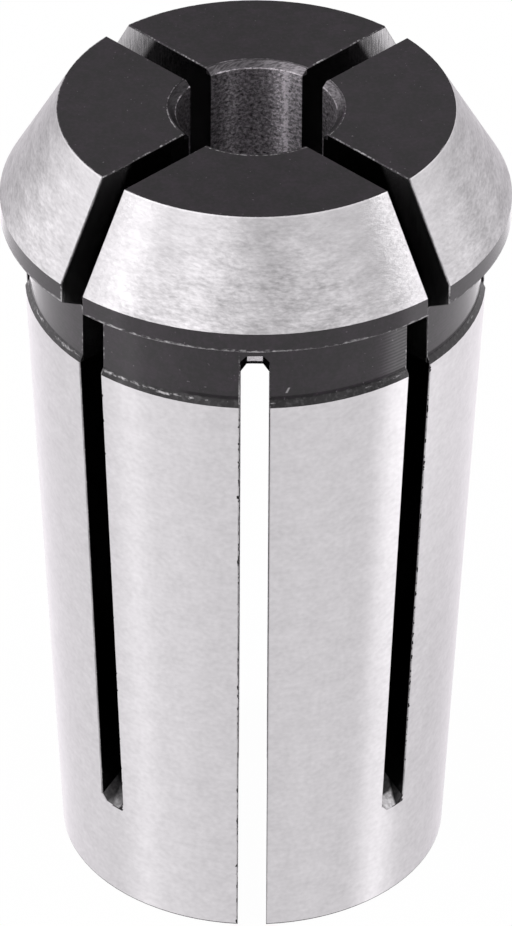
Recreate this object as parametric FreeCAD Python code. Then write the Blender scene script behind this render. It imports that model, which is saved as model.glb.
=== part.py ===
import FreeCAD, Part
import math
import os

# Multi-slit router collet, turned from one steel bar, slit from both ends,
# hardened and ground on its nose cone and its taper.
# Millimetres. The origin is the centre of the rear end face and +Z points to the nose.

# Driving dimensions of the turned blank
overall_length = 34.7
shank_diameter = 6.35
head_diameter = 20.3
nose_height = 3.95
nose_half_angle = 30.0
rim_height = 0.88
groove_width = 3.27
groove_diameter = 18.0
groove_flank_angle = 30.0
ledge_height = 0.3
body_diameter = 18.36
taper_per_length = 0.1

# Driving dimensions of the edges and corners
bore_chamfer = 0.26
rear_bore_chamfer = 0.4
rear_edge_chamfer = 0.08
rim_edge_break = 0.08
slit_edge_break = 0.05
groove_corner_radius = 0.2

# Driving dimensions of the slits. A length is measured on the outside, from the end
# that the slit is open at to the point where the saw runs out.
slits_per_end = 4
slit_width = 1.16
nose_slit_length = 30.2
rear_slit_length = 28.95
saw_diameter = 40.0
saw_corner_chamfer = 0.25
far_wall_clearance = 1.0
open_end_overrun = 1.0

# Places that follow from the driving dimensions
shank_radius = shank_diameter / 2
head_radius = head_diameter / 2
nose_radius = head_radius - nose_height * math.tan(math.radians(nose_half_angle))
groove_radius = groove_diameter / 2
body_radius = body_diameter / 2
nose_edge_z = overall_length - nose_height
rim_underside_z = nose_edge_z - rim_height
body_top_z = rim_underside_z - groove_width
rear_radius = body_radius - body_top_z * taper_per_length / 2
saw_radius = saw_diameter / 2


def body_radius_at(z):
    """Radius of the tapered body, as if the taper went on past its ends."""
    return rear_radius + z * taper_per_length / 2


def revolved(edges):
    """Solid turned from a closed half section in the XZ plane."""
    face = Part.Face(Part.Wire(edges))
    turned = face.revolve(FreeCAD.Vector(0, 0, 0), FreeCAD.Vector(0, 0, 1), 360)
    return turned if turned.ShapeType == "Solid" else Part.Solid(turned.Shells[0])


def chain(points):
    """Straight edges from each point to the next one."""
    vectors = [FreeCAD.Vector(r, 0, z) for r, z in points]
    return [Part.LineSegment(a, b).toShape() for a, b in zip(vectors, vectors[1:])]


def corner_arc(centre_r, centre_z, radius, start_deg, end_deg):
    """Arc in the XZ plane about a centre, from one angle to another."""
    middle_deg = (start_deg + end_deg) / 2
    on_arc = []
    for deg in (start_deg, middle_deg, end_deg):
        angle = math.radians(deg)
        on_arc.append(FreeCAD.Vector(centre_r + radius * math.cos(angle), 0,
                                     centre_z + radius * math.sin(angle)))
    return Part.Arc(*on_arc).toShape()


def turned_blank():
    """The collet before it is slit: bore, nose cone, rim, extraction groove and taper.

    The groove's flank under the rim slopes down to the floor, and they meet in the
    radius of the turning tool's tip. A narrow cone, the ledge, leads out to the taper.
    """
    corner = groove_corner_radius
    flank = math.radians(groove_flank_angle)
    flank_foot_z = rim_underside_z - (head_radius - rim_edge_break - groove_radius) * math.tan(flank)
    corner_r = groove_radius + corner
    corner_z = flank_foot_z - corner / math.tan((math.pi / 2 + flank) / 2)
    front = chain([
        (shank_radius, rear_bore_chamfer),
        (shank_radius, overall_length - bore_chamfer),
        (shank_radius + bore_chamfer, overall_length),
        (nose_radius, overall_length),
        (head_radius, nose_edge_z),
        (head_radius, rim_underside_z + rim_edge_break),
        (head_radius - rim_edge_break, rim_underside_z),
        (corner_r - corner * math.sin(flank), corner_z + corner * math.cos(flank)),
    ])
    groove_corner = corner_arc(corner_r, corner_z, corner, 90 + groove_flank_angle, 180)
    rear = chain([
        (groove_radius, corner_z),
        (groove_radius, body_top_z + ledge_height),
        (body_radius, body_top_z),
        (body_radius_at(rear_edge_chamfer), rear_edge_chamfer),
        (body_radius_at(0) - rear_edge_chamfer, 0),
        (shank_radius + rear_bore_chamfer, 0),
        (shank_radius, rear_bore_chamfer),
    ])
    return revolved(front + [groove_corner] + rear)


def saw_path(open_z, end_z, end_radius):
    """What one saw pass removes, in the plane y = 0 on the +X side.

    The saw plunges past the axis, but not to the far wall of the bore, and is then fed
    along the collet until its rim reaches end_z on the outside, at end_radius. Its teeth
    have cut corners.
    """
    floor_r = -(shank_radius - far_wall_clearance)
    centre_r = floor_r + saw_radius
    rise = math.sqrt(saw_radius ** 2 - (centre_r - end_radius) ** 2)
    towards_end = 1 if end_z > open_z else -1
    centre_z = end_z - towards_end * rise
    start_z = open_z - towards_end * open_end_overrun
    far_z = centre_z + towards_end * saw_radius
    swing = 45 * towards_end
    on_rim = FreeCAD.Vector(centre_r - saw_radius * math.cos(math.radians(swing)), -slit_width / 2,
                            centre_z + saw_radius * math.sin(math.radians(swing)))
    floor_start = FreeCAD.Vector(floor_r, -slit_width / 2, start_z)
    floor_end = FreeCAD.Vector(floor_r, -slit_width / 2, centre_z)
    rim_end = FreeCAD.Vector(centre_r, -slit_width / 2, far_z)
    outside = FreeCAD.Vector(centre_r, -slit_width / 2, start_z)
    rim = Part.Arc(floor_end, on_rim, rim_end).toShape()
    outline = [
        Part.LineSegment(floor_start, floor_end).toShape(),
        rim,
        Part.LineSegment(rim_end, outside).toShape(),
        Part.LineSegment(outside, floor_start).toShape(),
    ]
    cut = Part.Face(Part.Wire(outline)).extrude(FreeCAD.Vector(0, slit_width, 0))
    rim_edges = [edge for edge in cut.Edges
                 if hasattr(edge.Curve, "Radius") and abs(edge.Curve.Radius - saw_radius) < 1e-6]
    return cut.makeChamfer(saw_corner_chamfer, rim_edges)


def slit(blank):
    """Saw the blank from both ends in turn, the rear slits midway between the nose slits."""
    pitch = 360 / slits_per_end
    nose_end_z = overall_length - nose_slit_length
    nose_pass = saw_path(overall_length, nose_end_z, body_radius_at(nose_end_z))
    rear_end_radius = groove_radius if rear_slit_length > body_top_z else body_radius_at(rear_slit_length)
    rear_pass = saw_path(0, rear_slit_length, rear_end_radius)
    sawn = blank
    for index in range(slits_per_end):
        for saw_pass, first_deg in ((nose_pass, pitch / 2), (rear_pass, 0)):
            indexed = saw_pass.copy()
            indexed.rotate(FreeCAD.Vector(0, 0, 0), FreeCAD.Vector(0, 0, 1), first_deg + index * pitch)
            sawn = sawn.cut(indexed)
    return sawn


def outside_radius_at(z):
    """Radius of the nose cone, the rim or the taper at a height; 0 in the groove."""
    if z > nose_edge_z:
        return head_radius - (z - nose_edge_z) * math.tan(math.radians(nose_half_angle))
    if z > rim_underside_z:
        return head_radius
    if z < body_top_z:
        return body_radius_at(z)
    return 0


def is_outer_slit_edge(edge):
    """Whether an edge lies between a slit's flat wall and the nose face, cone, rim or taper."""
    ends = [edge.valueAt(edge.FirstParameter), edge.valueAt(edge.LastParameter)]
    middle = edge.valueAt((edge.FirstParameter + edge.LastParameter) / 2)
    on_a_wall = False
    for index in range(2 * slits_per_end):
        angle = math.radians(index * 180 / slits_per_end)
        across = FreeCAD.Vector(-math.sin(angle), math.cos(angle), 0)
        if all(abs(across.dot(point) - slit_width / 2) < 1e-4 for point in ends + [middle]):
            on_a_wall = True
    radius = math.hypot(middle.x, middle.y)
    on_nose_face = (all(abs(point.z - overall_length) < 1e-4 for point in ends)
                    and radius > shank_radius + bore_chamfer)
    return on_a_wall and (on_nose_face or abs(radius - outside_radius_at(middle.z)) < 1e-3)


def deburred(sawn):
    """Break the slits' sharp outer edges, which the saw leaves with a burr."""
    return sawn.makeChamfer(slit_edge_break, [edge for edge in sawn.Edges if is_outer_slit_edge(edge)])


collet = deburred(slit(turned_blank()))
if collet.ShapeType != "Solid":
    collet = collet.Solids[0]

os.makedirs("parts", exist_ok=True)
collet.exportStep("parts/collet.step")
print("collet: valid", collet.isValid(), "faces", len(collet.Faces),
      "volume mm3", round(collet.Volume, 2), "area mm2", round(collet.Area, 2))
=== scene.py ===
import math

import bpy
from mathutils import Matrix, Vector


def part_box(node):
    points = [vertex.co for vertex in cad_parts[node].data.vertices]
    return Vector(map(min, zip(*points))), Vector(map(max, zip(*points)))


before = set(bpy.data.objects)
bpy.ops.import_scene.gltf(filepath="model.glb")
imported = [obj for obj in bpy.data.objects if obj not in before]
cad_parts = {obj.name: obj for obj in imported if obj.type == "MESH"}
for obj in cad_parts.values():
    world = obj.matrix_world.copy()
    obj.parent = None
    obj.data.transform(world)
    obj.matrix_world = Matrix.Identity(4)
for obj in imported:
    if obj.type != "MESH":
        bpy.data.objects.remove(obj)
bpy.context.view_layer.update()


# The collet: one piece of tool steel, turned with its bore, nose cone, rim, groove and taper,
# sawn by four slits from each end, hardened black, then ground bright on the cone and the
# taper. Its node keeps its CAD mesh, and this section gives it its finish, place by place.

MM = 0.001
top_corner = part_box("collet")[1]
overall_length = top_corner.z
head_radius = top_corner.x
nose_edge = 30.75 * MM
rim_underside = 29.87 * MM
ledge_top = 26.9 * MM
taper_top = 26.6 * MM
cone_slope = math.tan(math.radians(30))
nose_radius = head_radius - (overall_length - nose_edge) * cone_slope
groove_radius = 9.0 * MM
taper_foot_radius = 7.85 * MM
taper_slope = 0.05
shank_radius = 3.175 * MM
bore_mouth_radius = 3.435 * MM
bore_mouth_depth = 0.26 * MM
mouth_roll_width = 0.10 * MM
rear_edge_chamfer = 0.08 * MM
rim_edge_break = 0.08 * MM
slit_half_width = 0.58 * MM
slit_edge_break = 0.05 * MM
saw_corner = 0.25 * MM
nose_slit_foot = 4.5 * MM
rear_slit_top = 28.95 * MM

# How deep the outline's skin reaches, and how near to a surface a point counts as on it.
skin = 0.03 * MM
margin = 0.01 * MM
hair = 0.004 * MM


def math_node(tree, operation, *values, clamp=False):
    """A Math node fed by numbers or sockets, and its result."""
    node = tree.nodes.new("ShaderNodeMath")
    node.operation = operation
    node.use_clamp = clamp
    for socket, value in zip(node.inputs, values):
        if isinstance(value, bpy.types.NodeSocket):
            tree.links.new(value, socket)
        else:
            socket.default_value = value
    return node.outputs[0]


def add(tree, a, b):
    return math_node(tree, "ADD", a, b)


def subtract(tree, a, b):
    return math_node(tree, "SUBTRACT", a, b)


def multiply(tree, a, b):
    return math_node(tree, "MULTIPLY", a, b)


def scaled(tree, value, by, plus):
    """The value times by, plus plus."""
    return math_node(tree, "MULTIPLY_ADD", value, by, plus)


def size_of(tree, value):
    """The value without its sign."""
    return math_node(tree, "ABSOLUTE", value)


def above(tree, value, limit):
    return math_node(tree, "GREATER_THAN", value, limit)


def below(tree, value, limit):
    return math_node(tree, "LESS_THAN", value, limit)


def either(tree, a, b):
    return math_node(tree, "MAXIMUM", a, b)


def both(tree, a, b):
    return math_node(tree, "MULTIPLY", a, b)


def between(tree, value, low, high):
    return both(tree, above(tree, value, low), below(tree, value, high))


def outside_of(tree, mask):
    """1 where the mask is 0, and 0 where it is 1."""
    return subtract(tree, 1.0, mask)


def choose(tree, mask, when_off, when_on):
    """when_off where the mask is 0, when_on where it is 1, and a blend between them."""
    node = tree.nodes.new("ShaderNodeMix")
    node.data_type = "FLOAT"
    for socket, value in ((node.inputs[0], mask), (node.inputs[2], when_off), (node.inputs[3], when_on)):
        if isinstance(value, bpy.types.NodeSocket):
            tree.links.new(value, socket)
        else:
            socket.default_value = value
    return node.outputs[0]


def ramp(tree, value, low, high):
    """0 at low, 1 at high, smooth between; low may be the larger one."""
    node = tree.nodes.new("ShaderNodeMapRange")
    node.interpolation_type = "SMOOTHSTEP"
    tree.links.new(value, node.inputs[0])
    node.inputs[1].default_value = min(low, high)
    node.inputs[2].default_value = max(low, high)
    node.inputs[3].default_value = 0.0 if low < high else 1.0
    node.inputs[4].default_value = 1.0 if low < high else 0.0
    return node.outputs[0]


def vector_of(tree, x, y, z):
    """A vector of three numbers or sockets."""
    node = tree.nodes.new("ShaderNodeCombineXYZ")
    for socket, value in zip(node.inputs, (x, y, z)):
        if isinstance(value, bpy.types.NodeSocket):
            tree.links.new(value, socket)
        else:
            socket.default_value = value
    return node.outputs[0]


def noise(tree, vector, scale, detail=2.0, roughness=0.5):
    """Noise from 0 to 1 about 0.5; a scale of 1000 makes blotches about 1 mm across."""
    node = tree.nodes.new("ShaderNodeTexNoise")
    tree.links.new(vector, node.inputs["Vector"])
    node.inputs["Scale"].default_value = scale
    node.inputs["Detail"].default_value = detail
    node.inputs["Roughness"].default_value = roughness
    return node.outputs[0]


def uneven(tree, texture, amount):
    """A noise turned into a swing about 0."""
    return multiply(tree, subtract(tree, texture, 0.5), amount)


def group_of(name, takes, gives):
    """An empty node group with its named sockets."""
    tree = bpy.data.node_groups.new(name, "ShaderNodeTree")
    for socket_name, kind in takes:
        tree.interface.new_socket(socket_name, in_out="INPUT", socket_type=kind)
    for socket_name, kind in gives:
        tree.interface.new_socket(socket_name, in_out="OUTPUT", socket_type=kind)
    inside = tree.nodes.new("NodeGroupInput").outputs
    outside = tree.nodes.new("NodeGroupOutput").inputs
    return tree, inside, outside


def places_on_the_collet():
    """Where a point lies: which surface it is on, how far round and up, how near a slit."""
    number = "NodeSocketFloat"
    tree, takes, gives = group_of("places on the collet", [("Point", "NodeSocketVector")], [
        (name, number) for name in ("Radius", "Around", "Up", "Front", "Left", "Ground", "Cone", "Bore",
                                    "Mouth", "Sawn", "Slit gap", "Slit edge", "Outside depth")])
    apart = tree.nodes.new("ShaderNodeSeparateXYZ")
    tree.links.new(takes["Point"], apart.inputs[0])
    x, y, z = apart.outputs
    radius = math_node(tree, "SQRT", add(tree, multiply(tree, x, x), multiply(tree, y, y)))

    # The angle's seam falls in a rear slit on the body and in a nose slit on the head.
    in_head = above(tree, z, taper_top)
    turned_x = multiply(tree, subtract(tree, x, y), math.sqrt(0.5))
    turned_y = multiply(tree, add(tree, x, y), math.sqrt(0.5))
    angle = math_node(tree, "ARCTAN2", choose(tree, in_head, y, turned_y), choose(tree, in_head, x, turned_x))
    around = multiply(tree, angle, radius)

    # The outline's radius at this height: taper, groove, rim, nose cone.
    cone_radius = add(tree, multiply(tree, subtract(tree, overall_length, z), cone_slope), nose_radius)
    head_outline = math_node(tree, "MINIMUM", cone_radius, head_radius)
    body_outline = add(tree, multiply(tree, z, taper_slope), taper_foot_radius)
    under_rim = math_node(tree, "DIVIDE", subtract(tree, z, rim_underside), cone_slope)
    flank_radius = add(tree, under_rim, head_radius - rim_edge_break)
    groove_outline = math_node(tree, "MAXIMUM", flank_radius, groove_radius)
    outline = choose(tree, above(tree, z, rim_underside - hair / 2), groove_outline, head_outline)
    outline = choose(tree, in_head, body_outline, outline)
    depth = subtract(tree, radius, outline)
    on_outline = above(tree, depth, -skin)

    # The cone, the taper, the bore, and the bore's mouth, which rolls onto the face at the back.
    on_face = above(tree, z, overall_length - hair)
    inside_face = both(tree, on_face, below(tree, depth, -hair / 4))
    on_cone = both(tree, both(tree, on_outline, above(tree, z, nose_edge)), outside_of(tree, inside_face))
    # The taper stops a skin above its rear chamfer, so a thin black band along its bottom edge is painted
    # shade.
    on_taper = both(tree, on_outline, between(tree, z, rear_edge_chamfer + skin, taper_top))
    in_bore = below(tree, radius, shank_radius + 2 * margin)
    in_mouth = both(tree, below(tree, radius, bore_mouth_radius + margin),
                    between(tree, z, overall_length - bore_mouth_depth - margin, overall_length - hair))
    rolled_ring = both(tree, below(tree, radius, bore_mouth_radius + mouth_roll_width),
                       ramp(tree, y, -1.5 * MM, 0.5 * MM))
    in_mouth = either(tree, in_mouth, both(tree, on_face, rolled_ring))

    # How far a point is from the nearest slit's walls: 0 on a wall, negative in the cut.
    nose_gap = math_node(tree, "MINIMUM", size_of(tree, turned_x), size_of(tree, turned_y))
    nose_gap = add(tree, nose_gap, below(tree, z, nose_slit_foot))
    rear_gap = math_node(tree, "MINIMUM", size_of(tree, x), size_of(tree, y))
    rear_gap = add(tree, rear_gap, above(tree, z, rear_slit_top))
    gap = subtract(tree, math_node(tree, "MINIMUM", nose_gap, rear_gap), slit_half_width)

    # The broken edge beside a slit, on the outside and on the nose face. It stops at the foot
    # of a nose slit.
    near_outside = either(tree, above(tree, depth, -slit_edge_break - skin),
                          above(tree, z, overall_length - slit_edge_break - margin))
    beside_slit = both(tree, above(tree, gap, hair / 2),
                       ramp(tree, gap, 1.5 * slit_edge_break, slit_edge_break))
    clear_of_foot = either(tree, above(tree, z, nose_slit_foot + saw_corner + skin),
                           below(tree, rear_gap, nose_gap))
    slit_edge = both(tree, both(tree, beside_slit, near_outside), clear_of_foot)

    on_end = either(tree, on_face, below(tree, z, hair))
    plain = either(tree, either(tree, on_outline, on_end), either(tree, in_bore, in_mouth))
    plain = either(tree, plain, slit_edge)
    for name, result in (("Radius", radius), ("Around", around), ("Up", z),
                         ("Front", multiply(tree, y, -1.0)), ("Left", multiply(tree, x, -1.0)),
                         ("Ground", either(tree, on_cone, on_taper)), ("Cone", on_cone), ("Bore", in_bore),
                         ("Mouth", in_mouth), ("Sawn", outside_of(tree, plain)), ("Slit gap", gap),
                         ("Slit edge", slit_edge), ("Outside depth", depth)):
        tree.links.new(result, gives[name])
    return tree


def worn_edge():
    """Bare metal in broken dashes along an edge: strongest on it, gone at Width from it."""
    number = "NodeSocketFloat"
    tree, takes, gives = group_of("worn edge", [
        ("Distance", number), ("Width", number), ("Along", "NodeSocketVector"), ("Bareness", number)],
        [("Mask", number)])
    farness = math_node(tree, "DIVIDE", size_of(tree, takes["Distance"]), takes["Width"])
    nearness = math_node(tree, "MAXIMUM", outside_of(tree, farness), 0.0)
    patches = uneven(tree, noise(tree, takes["Along"], scale=1300.0), 0.7)
    chips = add(tree, noise(tree, takes["Along"], scale=7500.0, detail=3.0, roughness=0.7), patches)
    chips = add(tree, chips, multiply(tree, takes["Bareness"], 0.5))
    chips = ramp(tree, subtract(tree, chips, multiply(tree, outside_of(tree, nearness), 0.18)), 0.55, 0.85)
    fading = math_node(tree, "MULTIPLY", nearness, 3.0, clamp=True)
    tree.links.new(multiply(tree, chips, fading), gives["Mask"])
    return tree


steel = bpy.data.materials.new("hardened_steel")
steel.use_nodes = True
tree = steel.node_tree
finish = tree.nodes["Principled BSDF"]
point = tree.nodes.new("ShaderNodeTexCoord").outputs["Object"]
places = tree.nodes.new("ShaderNodeGroup")
places.node_tree = places_on_the_collet()
tree.links.new(point, places.inputs["Point"])
at = places.outputs
reamed = either(tree, at["Bore"], at["Mouth"])

# Grinding marks run round the cone and the taper, coarser on the cone and most of all in front.
# Around times less than 1 draws a noise out round the collet.
cone_marks_at = vector_of(tree, multiply(tree, at["Around"], 0.36), at["Up"], 0.0)
cone_marks = noise(tree, cone_marks_at, scale=9000.0, detail=3.0, roughness=0.62)
cone_cloud = noise(tree, cone_marks_at, scale=2000.0)
front_of_cone = ramp(tree, at["Front"], 7.2 * MM, 9.6 * MM)
side_of_cone = ramp(tree, size_of(tree, at["Left"]), 6.5 * MM, 9.0 * MM)
cone_strength = scaled(tree, front_of_cone, by=1.15, plus=0.62)
cone_strength = add(tree, cone_strength, multiply(tree, side_of_cone, 0.8))
cone_swing = add(tree, uneven(tree, cone_marks, 0.72), uneven(tree, cone_cloud, 0.50))
# A painted highlight lightens the cone in a thin line along its top edge at the nose face.
painted_nose_highlight = ramp(tree, at["Up"], overall_length - 0.08 * MM, overall_length - 0.03 * MM)
cone_tone = add(tree, multiply(tree, cone_strength, cone_swing), multiply(tree, painted_nose_highlight, 0.22))

body_marks_at = vector_of(tree, multiply(tree, at["Around"], 0.8), at["Up"], 0.0)
body_marks = noise(tree, body_marks_at, scale=5200.0)
body_cloud = noise(tree, body_marks_at, scale=1300.0)
body_tone = add(tree, uneven(tree, body_marks, 0.26), uneven(tree, body_cloud, 0.20))
# On the right of the taper, painted light makes it lighter towards the top and darker towards the bottom.
right_of_body = ramp(tree, at["Left"], -4.0 * MM, -6.5 * MM)
painted_light_upwards = uneven(tree, ramp(tree, at["Up"], 8.0 * MM, 26.0 * MM), 0.20)
body_tone = add(tree, body_tone, both(tree, painted_light_upwards, right_of_body))
ground_value = scaled(tree, choose(tree, at["Cone"], body_tone, cone_tone), by=0.56, plus=0.56)

# Hardening scale on the end faces, rim and groove: nearly black, faintly mottled, with flecks.
scale_cloud = noise(tree, point, scale=6000.0, detail=3.0, roughness=0.6)
scale_patches = noise(tree, point, scale=1100.0, detail=3.0, roughness=0.6)
black_value = add(tree, multiply(tree, ramp(tree, scale_cloud, 0.40, 0.66), 0.006),
                  multiply(tree, ramp(tree, scale_patches, 0.38, 0.70), 0.006))
flecks = ramp(tree, noise(tree, point, scale=7000.0), 0.70, 0.78)
black_value = add(tree, black_value, multiply(tree, flecks, 0.10))

# The groove's turned rings carry a painted sheen at the right front; the ledge is mottled under a corner line
# of painted shade.
ring_pitch = 0.15 * MM
groove_rings = math_node(tree, "SINE", multiply(tree, at["Up"], 2 * math.pi / ring_pitch))
ring_place = both(tree, ramp(tree, at["Left"], -4.6 * MM, -5.6 * MM), above(tree, at["Front"], 6.0 * MM))
ring_place = both(tree, ring_place, between(tree, at["Up"], ledge_top, rim_underside))
# The real turned rings are painted lighter here as a painted sheen.
painted_ring_sheen = scaled(tree, groove_rings, by=0.020, plus=0.020)
black_value = add(tree, black_value, both(tree, ring_place, painted_ring_sheen))
on_ledge = both(tree, between(tree, at["Up"], taper_top, ledge_top), outside_of(tree, at["Sawn"]))
ledge_mottle = ramp(tree, noise(tree, point, scale=4500.0, detail=3.0, roughness=0.7), 0.48, 0.75)
black_value = add(tree, black_value, both(tree, on_ledge, multiply(tree, ledge_mottle, 0.05)))
from_corner = size_of(tree, subtract(tree, at["Up"], ledge_top + 0.05 * MM))
# A thin line of painted shade lies in the corner above the ledge, except at the left, by taking the coat
# away.
corner_shade_line = ramp(tree, from_corner, 0.11 * MM, 0.05 * MM)
corner_shade_line = both(tree, corner_shade_line, ramp(tree, at["Left"], 3.2 * MM, 2.2 * MM))

# The saw leaves upright scratches in the slits, bare and lighter at the outside of the head, partly as a
# painted reflection, and black inside, partly as painted shade. The rear slits' ends are dull, with a bright
# patch between the saw's cut corners.
saw_marks_at = vector_of(tree, at["Radius"], at["Around"], multiply(tree, at["Up"], 0.16))
saw_marks = noise(tree, saw_marks_at, scale=6500.0, detail=3.0, roughness=0.65)
# Near the outside the slit walls are partly bare metal and partly painted reflection; deeper in they are
# painted shade.
slit_mouth_bare_and_lit = both(tree, ramp(tree, at["Outside depth"], -1.7 * MM, -1.3 * MM),
                     above(tree, at["Up"], taper_top))
sawn_value = multiply(tree, scaled(tree, slit_mouth_bare_and_lit, by=0.36, plus=0.010),
                      scaled(tree, saw_marks, by=1.6, plus=0.2))
in_cut = both(tree, below(tree, at["Slit gap"], -hair), at["Sawn"])
rear_end_bottom = 24.2 * MM
bright_half_width = 0.31 * MM
between_walls = math_node(tree, "MINIMUM", size_of(tree, at["Left"]), size_of(tree, at["Front"]))
rear_slit_end = both(tree, in_cut, above(tree, at["Up"], rear_end_bottom))
bright_end = both(tree, rear_slit_end, below(tree, between_walls, bright_half_width))
bright_end = both(tree, bright_end, ramp(tree, at["Radius"], 3.46 * MM, 3.58 * MM))
end_value = multiply(tree, ramp(tree, saw_marks, 0.40, 0.62), 0.26)
sawn_value = choose(tree, bright_end, sawn_value, end_value)

# The nose slits' feet are black deeper inside as painted shade, grey outside, and on the right one in
# front a face is painted bright as a painted reflection. Across is measured over a slit's width.
foot_top = 12.0 * MM
slit_foot = both(tree, in_cut, below(tree, at["Up"], foot_top))
foot_marks = ramp(tree, noise(tree, point, scale=5000.0, detail=3.0, roughness=0.7), 0.35, 0.70)
right_foot = both(tree, below(tree, at["Left"], 0.0), above(tree, at["Front"], 0.0))
across_right = multiply(tree, add(tree, at["Left"], at["Front"]), -math.sqrt(0.5))
across_left = multiply(tree, subtract(tree, at["Front"], at["Left"]), math.sqrt(0.5))
# A face on the right foot is painted bright as a painted reflection, and made dull.
foot_glint_line = scaled(tree, at["Outside depth"], by=0.5, plus=across_right)
painted_foot_glint = both(tree, ramp(tree, foot_glint_line, 0.22 * MM, 0.10 * MM), right_foot)
right_light = scaled(tree, ramp(tree, across_right, -0.42 * MM, -0.30 * MM), by=0.70, plus=0.25)
right_light = choose(tree, painted_foot_glint, 0.03, right_light)
grey_line = scaled(tree, at["Outside depth"], by=-0.4, plus=across_left)
left_light = scaled(tree, ramp(tree, grey_line, -0.08 * MM, 0.08 * MM), by=0.20, plus=0.10)
# Deeper in, the feet are darkened as painted shade.
left_depth = ramp(tree, at["Outside depth"], -0.95 * MM, -0.70 * MM)
right_depth = ramp(tree, at["Outside depth"], -0.62 * MM, -0.50 * MM)
foot_light = choose(tree, right_foot, left_light, right_light)
foot_depth_shade = choose(tree, right_foot, left_depth, right_depth)
foot_value = both(tree, both(tree, foot_light, scaled(tree, foot_marks, by=0.50, plus=0.50)),
                  scaled(tree, foot_depth_shade, by=0.90, plus=0.10))
sawn_value = choose(tree, slit_foot, sawn_value, foot_value)

# The reamed bore is speckled, and brighter on its right with painted light, darker on the right finger
# with painted shade, with a painted highlight line at the back. Its chamfered mouth is duller, with painted
# light on its right and painted shade in front and at the left.
ream_marks_at = vector_of(tree, multiply(tree, at["Around"], 0.75), multiply(tree, at["Up"], 0.85), 0.0)
ream_marks = noise(tree, ream_marks_at, scale=9500.0, detail=3.0, roughness=0.75)
ream_spots = ramp(tree, noise(tree, ream_marks_at, scale=6500.0), 0.34, 0.44)
# Painted light makes the bore and its mouth lighter on the right.
bore_light_side = ramp(tree, at["Left"], 0.3 * MM, -1.6 * MM)
bore_value = multiply(tree, scaled(tree, ramp(tree, ream_marks, 0.40, 0.70), by=0.58, plus=0.22),
                      scaled(tree, bore_light_side, by=1.10, plus=0.68))
# Painted shade darkens the right finger's part of the bore.
right_finger_shade = ramp(tree, at["Left"], -2.2 * MM, -2.5 * MM)
bore_value = multiply(tree, bore_value, scaled(tree, right_finger_shade, by=-0.35, plus=1.0))
# A painted highlight runs up the back of the bore.
highlight_line_right = 1.18 * MM
bore_highlight_line = ramp(tree, size_of(tree, add(tree, at["Left"], highlight_line_right)), 0.12 * MM, 0.04 * MM)
bore_highlight_line = both(tree, bore_highlight_line, below(tree, at["Front"], 0.0))
bore_value = multiply(tree, bore_value, scaled(tree, bore_highlight_line, by=0.9, plus=1.0))
bore_value = math_node(tree, "MINIMUM", bore_value, 0.95)
bore_value = multiply(tree, bore_value, scaled(tree, ream_spots, by=0.60, plus=0.45))

mouth_marks_at = vector_of(tree, multiply(tree, at["Around"], 0.8), at["Up"], at["Radius"])
mouth_marks = noise(tree, mouth_marks_at, scale=9000.0, detail=3.0, roughness=0.6)
mouth_value = multiply(tree, scaled(tree, ramp(tree, mouth_marks, 0.36, 0.60), by=0.08, plus=0.055),
                       scaled(tree, bore_light_side, by=0.8, plus=1.0))
# Painted shade darkens the mouth in front and at the left.
mouth_front_shade = scaled(tree, ramp(tree, at["Front"], 0.8 * MM, -0.8 * MM), by=0.65, plus=0.35)
mouth_left_shade = scaled(tree, ramp(tree, at["Left"], 2.6 * MM, 1.4 * MM), by=0.60, plus=0.40)
mouth_value = multiply(tree, mouth_value, multiply(tree, mouth_front_shade, mouth_left_shade))

# Edges: beside the slits, round the nose face, under the rim, on the ledge, at the bore's mouth.
edge_group = worn_edge()
along_edge = vector_of(tree, multiply(tree, at["Around"], 0.45), at["Up"], at["Radius"])


def edge_wear(distance, width, bareness, along=point):
    """The mask of a worn edge, from how far a point lies from the edge."""
    node = tree.nodes.new("ShaderNodeGroup")
    node.node_tree = edge_group
    tree.links.new(distance, node.inputs["Distance"])
    node.inputs["Width"].default_value = width
    if isinstance(bareness, bpy.types.NodeSocket):
        tree.links.new(bareness, node.inputs["Bareness"])
    else:
        node.inputs["Bareness"].default_value = bareness
    tree.links.new(along, node.inputs["Along"])
    return node.outputs["Mask"]


beside_wall = 0.03 * MM
left_of_slit = both(tree, between(tree, at["Left"], 0.0, 1.0 * MM),
                    between(tree, at["Up"], taper_top, rim_underside))
on_rim = between(tree, at["Up"], rim_underside, nose_edge)
slit_bareness = scaled(tree, either(tree, left_of_slit, on_rim), by=0.30, plus=0.24)
slit_edge = edge_wear(subtract(tree, at["Slit gap"], beside_wall), 0.035 * MM, slit_bareness)
worn_side = either(tree, above(tree, at["Left"], 0.0), below(tree, at["Left"], -1.0 * MM))
slit_edge = both(tree, both(tree, slit_edge, at["Slit edge"]), worn_side)
slit_edge = both(tree, slit_edge, outside_of(tree, at["Ground"]))

face_bareness = scaled(tree, ramp(tree, at["Left"], 2.0 * MM, 6.0 * MM), by=0.30, plus=0.16)
face_edge = both(tree, edge_wear(subtract(tree, at["Radius"], nose_radius), 0.05 * MM, face_bareness),
                 above(tree, at["Up"], overall_length - skin))

rim_bareness = scaled(tree, ramp(tree, at["Left"], -2.0 * MM, 4.0 * MM), by=0.16, plus=0.32)
from_rim_line = subtract(tree, at["Up"], rim_underside + 0.06 * MM)
rim_edge = both(tree, edge_wear(from_rim_line, 0.13 * MM, rim_bareness, along_edge),
                above(tree, at["Radius"], head_radius - rim_edge_break - skin))

ledge_bareness = scaled(tree, ramp(tree, at["Left"], 1.0 * MM, 3.0 * MM), by=0.20, plus=0.02)
from_ledge_line = subtract(tree, at["Up"], ledge_top - 0.12 * MM)
ledge_edge = both(tree, edge_wear(from_ledge_line, 0.08 * MM, ledge_bareness, along_edge),
                  above(tree, at["Radius"], groove_radius - skin))

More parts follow.
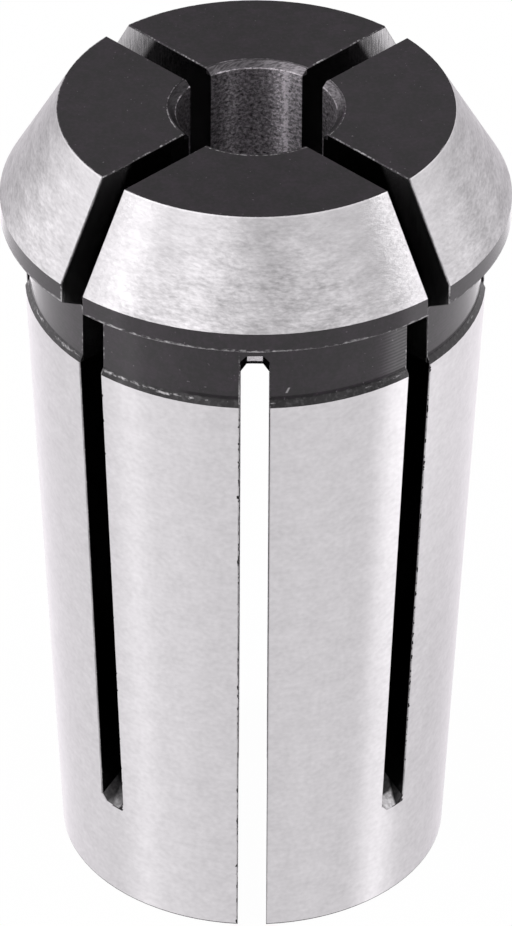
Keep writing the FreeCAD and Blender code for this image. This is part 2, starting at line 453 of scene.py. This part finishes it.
from_mouth_ring = size_of(tree, subtract(tree, at["Radius"], bore_mouth_radius + 0.08 * MM))
from_bore_ring = size_of(tree, subtract(tree, at["Radius"], shank_radius + 0.015 * MM))
mouth_rings = math_node(tree, "MINIMUM", from_mouth_ring, from_bore_ring)
mouth_edge = both(tree, edge_wear(mouth_rings, 0.035 * MM, 0.36),
                  above(tree, at["Up"], overall_length - bore_mouth_depth - 0.04 * MM))
bare_edges = either(tree, either(tree, either(tree, slit_edge, face_edge), rim_edge),
                    either(tree, ledge_edge, mouth_edge))

# A short slanting nick lies in the groove's floor, right of the front slit.
nick_height = 27.29 * MM
nick_right = 1.29 * MM
nick_up = subtract(tree, at["Up"], nick_height)
nick_across = scaled(tree, nick_up, by=0.45, plus=add(tree, at["Left"], nick_right))
nick = both(tree, ramp(tree, size_of(tree, nick_across), 0.06 * MM, 0.02 * MM),
            ramp(tree, size_of(tree, nick_up), 0.14 * MM, 0.10 * MM))
nick = multiply(tree, both(tree, nick, above(tree, at["Front"], 0.0)), 0.5)
bare_edges = both(tree, either(tree, bare_edges, nick), outside_of(tree, at["Sawn"]))

# The saw leaves a ragged black burr down one side of each slit in the taper.
ragged_side = choose(tree, right_foot, above(tree, across_left, 0.0), above(tree, across_right, 0.0))
burr_marks_at = vector_of(tree, at["Around"], at["Up"], 0.0)
burr_marks = noise(tree, burr_marks_at, scale=2600.0, detail=3.0, roughness=0.65)
burr_width = multiply(tree, subtract(tree, burr_marks, 0.49), 0.55 * MM)
beside_taper = both(tree, at["Ground"], below(tree, at["Up"], taper_top))
burr = both(tree, both(tree, below(tree, at["Slit gap"], burr_width), ragged_side), beside_taper)
front_right_edge = both(tree, between(tree, at["Left"], -0.75 * MM, -0.5 * MM),
                        above(tree, at["Front"], 0.0))
dark_beside_slit = both(tree, both(tree, at["Slit edge"], at["Ground"]),
                        scaled(tree, front_right_edge, by=-0.8, plus=1.0))

# Each surface has its own grey, with the edges laid over them.
value = choose(tree, at["Sawn"], black_value, sawn_value)
value = choose(tree, at["Bore"], value, bore_value)
value = choose(tree, at["Mouth"], value, mouth_value)
value = choose(tree, at["Ground"], value, ground_value)
beside_value = math_node(tree, "MULTIPLY_ADD", saw_marks, 0.8, -0.05, clamp=True)
value = choose(tree, dark_beside_slit, value, beside_value)
on_rim_line = between(tree, at["Up"], rim_underside - 0.1 * MM, nose_edge)
edge_value = choose(tree, at["Slit edge"], choose(tree, on_rim_line, 0.52, 0.40), 0.38)
value = choose(tree, bare_edges, value, edge_value)
value = choose(tree, burr, value, 0.01)
bare_metal = either(tree, either(tree, either(tree, at["Ground"], at["Sawn"]), reamed), bare_edges)
dull_foot = multiply(tree, slit_foot, scaled(tree, painted_foot_glint, by=0.6, plus=0.4))
bare_metal = both(tree, bare_metal, outside_of(tree, dull_foot))
tree.links.new(bare_metal, finish.inputs["Metallic"])

# Plain black has less green in it than the rest, and the bore a trace less.
neutral = either(tree, either(tree, bare_metal, at["Sawn"]), either(tree, on_ledge, ring_place))
neutral = either(tree, neutral, either(tree, flecks, ramp(tree, bare_edges, 0.0, 0.1)))
green = choose(tree, outside_of(tree, neutral), choose(tree, reamed, 1.0, 0.96), 0.55)
tint = tree.nodes.new("ShaderNodeCombineColor")
for channel, strength in zip(tint.inputs[:3], (value, multiply(tree, value, green), value)):
    tree.links.new(strength, channel)
tree.links.new(tint.outputs[0], finish.inputs["Base Color"])
coat = multiply(tree, outside_of(tree, bare_metal), outside_of(tree, multiply(tree, corner_shade_line, 0.9)))
tree.links.new(coat, finish.inputs["Coat Weight"])

roughness = choose(tree, at["Ground"], 0.42, choose(tree, at["Cone"], 0.30, 0.35))
roughness = choose(tree, at["Sawn"], roughness, choose(tree, rear_slit_end, 0.25, 0.75))
roughness = choose(tree, bright_end, roughness, 0.18)
roughness = choose(tree, reamed, roughness, scaled(tree, bore_light_side, by=0.05, plus=0.34))
tree.links.new(roughness, finish.inputs["Roughness"])
finish.inputs["Anisotropic"].default_value = 0.75
finish.inputs["Anisotropic Rotation"].default_value = 0.25
finish.inputs["IOR"].default_value = 1.33
finish.inputs["Specular Tint"].default_value = (1.0, 0.985, 1.0, 1.0)
finish.inputs["Coat IOR"].default_value = 1.32
finish.inputs["Coat Roughness"].default_value = 0.12

# Relief in micrometres: grinding marks, turned rings, bore and saw marks.
micrometre = 1e-6
cone_relief = multiply(tree, cone_marks, 16.0)
body_relief = multiply(tree, body_marks, 2.0)
black_relief = add(tree, multiply(tree, scale_cloud, 2.0), multiply(tree, groove_rings, 0.4))
relief = choose(tree, at["Sawn"], black_relief, multiply(tree, saw_marks, 9.0))
relief = choose(tree, reamed, relief, multiply(tree, ream_marks, 6.0))
relief = choose(tree, at["Ground"], relief, choose(tree, at["Cone"], body_relief, cone_relief))
bump = tree.nodes.new("ShaderNodeBump")
tree.links.new(relief, bump.inputs["Height"])
bump.inputs["Strength"].default_value = 1.0
bump.inputs["Distance"].default_value = micrometre
tree.links.new(bump.outputs[0], finish.inputs["Normal"])

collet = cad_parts["collet"]
collet.material_slots[0].material = steel


# The floor and the studio: a pale floor in a white light tent, whose walls are bright at the
# sides and below and greyer in front and behind, with an upright strip light on the left and
# one on the right.

floor_reach = 1.2
floor_drop = 0.02 * MM
floor_mesh = bpy.data.meshes.new("floor")
floor_mesh.from_pydata([(-floor_reach, -floor_reach, 0), (floor_reach, -floor_reach, 0),
                        (floor_reach, floor_reach, 0), (-floor_reach, floor_reach, 0)],
                       [], [(0, 1, 2, 3)])
floor = bpy.data.objects.new("floor", floor_mesh)
bpy.context.scene.collection.objects.link(floor)
floor.location.z = -floor_drop
floor.visible_glossy = False

pale = bpy.data.materials.new("pale_floor")
pale.use_nodes = True
tree = pale.node_tree
tree.nodes.clear()
matt = tree.nodes.new("ShaderNodeBsdfDiffuse")
matt.inputs["Color"].default_value = (0.86, 0.86, 0.86, 1)
white = tree.nodes.new("ShaderNodeEmission")
white.inputs["Strength"].default_value = 1.0
rays = tree.nodes.new("ShaderNodeLightPath").outputs
mix = tree.nodes.new("ShaderNodeMixShader")
seen = either(tree, rays["Is Camera Ray"], either(tree, rays["Is Glossy Ray"], rays["Is Transmission Ray"]))
tree.links.new(multiply(tree, seen, 0.985), mix.inputs[0])
tree.links.new(matt.outputs[0], mix.inputs[1])
tree.links.new(white.outputs[0], mix.inputs[2])
out = tree.nodes.new("ShaderNodeOutputMaterial")
tree.links.new(mix.outputs[0], out.inputs["Surface"])
floor_mesh.materials.append(pale)

world = bpy.data.worlds.new("light_tent")
world.use_nodes = True
bpy.context.scene.world = world
tree = world.node_tree
tree.nodes.clear()
direction = tree.nodes.new("ShaderNodeTexCoord").outputs["Generated"]
apart = tree.nodes.new("ShaderNodeSeparateXYZ")
tree.links.new(direction, apart.inputs[0])
x, y, z = apart.outputs

# Round the tent from behind, by the left, the front and the right: the azimuth in degrees,
# then the wall's brightness above the floor's horizon and below it.
walls = (
    (-180, 0.42, 1.34), (-164, 0.44, 1.57), (-152, 0.50, 1.37), (-140, 0.68, 1.21), (-129, 1.02, 1.14),
    (-117, 1.33, 1.13), (-99, 1.57, 1.15), (-80, 1.39, 1.14), (-73, 0.96, 1.38), (-66, 2.50, 1.68),
    (-57, 2.05, 1.16), (-49, 0.96, 1.26), (-34, 1.72, 1.11), (-20, 1.40, 1.10), (-9, 1.04, 1.11),
    (2, 0.81, 1.11), (22, 0.96, 1.12), (34, 1.05, 1.14), (45, 1.01, 1.12), (57, 0.87, 1.05),
    (66, 0.48, 0.97), (70, 1.50, 1.14), (75, 3.00, 1.92), (82, 1.90, 2.12), (89, 1.02, 1.32),
    (99, 1.22, 1.25), (108, 1.05, 1.21), (120, 0.87, 1.16), (134, 0.84, 1.13), (152, 0.54, 1.26),
    (165, 0.46, 1.40), (180, 0.42, 1.34))
full_brightness = 4.0
turn = math_node(tree, "ARCTAN2", x, multiply(tree, y, -1.0))
turn = scaled(tree, turn, by=0.5 / math.pi, plus=0.5)
tent_wall = tree.nodes.new("ShaderNodeValToRGB")
tree.links.new(turn, tent_wall.inputs[0])
steps = tent_wall.color_ramp.elements
for azimuth, high, low in walls[1:-1]:
    steps.new(azimuth / 360 + 0.5)
for step, (azimuth, high, low) in zip(steps, walls):
    step.position = azimuth / 360 + 0.5
    step.color = (high / full_brightness, low / full_brightness, 0, 1)
split = tree.nodes.new("ShaderNodeSeparateColor")
tree.links.new(tent_wall.outputs[0], split.inputs[0])
upper = ramp(tree, z, math.sin(math.radians(-28)), math.sin(math.radians(-8)))
tent = multiply(tree, choose(tree, upper, split.outputs[1], split.outputs[0]), full_brightness)
glow = tree.nodes.new("ShaderNodeBackground")
tree.links.new(tent, glow.inputs["Strength"])
glow.inputs["Color"].default_value = (1, 0.967, 1, 1)
plain_white = tree.nodes.new("ShaderNodeBackground")
plain_white.inputs["Color"].default_value = (1, 1, 1, 1)
mix = tree.nodes.new("ShaderNodeMixShader")
tree.links.new(tree.nodes.new("ShaderNodeLightPath").outputs["Is Camera Ray"], mix.inputs[0])
tree.links.new(glow.outputs[0], mix.inputs[1])
tree.links.new(plain_white.outputs[0], mix.inputs[2])
out = tree.nodes.new("ShaderNodeOutputWorld")
tree.links.new(mix.outputs[0], out.inputs["Surface"])


# The camera: a long lens in front of the collet and 0.37 m from it, 35 degrees above the
# floor, tilted sideways by a third of a degree.

elevation = math.radians(35.05)
roll = math.radians(-0.32)
aim = Vector((0.064, 0.0, 17.57)) * MM
distance = 368.1 * MM
focal_length_px = 9104
photo_height_px = 926
sensor_side = 36.0
right = Vector((math.cos(roll), -math.sin(roll) * math.sin(elevation), -math.sin(roll) * math.cos(elevation)))
up = Vector((math.sin(roll), math.cos(roll) * math.sin(elevation), math.cos(roll) * math.cos(elevation)))
back = Vector((0.0, -math.cos(elevation), math.sin(elevation)))
place = aim + distance * back
camera = bpy.data.objects.new("camera", bpy.data.cameras.new("camera"))
bpy.context.scene.collection.objects.link(camera)
camera.matrix_world = Matrix((
    (right.x, up.x, back.x, place.x),
    (right.y, up.y, back.y, place.y),
    (right.z, up.z, back.z, place.z),
    (0, 0, 0, 1)))
camera.data.sensor_width = sensor_side
camera.data.lens = focal_length_px * sensor_side / photo_height_px
bpy.context.scene.camera = camera
bpy.context.scene.view_settings.view_transform = "Standard"
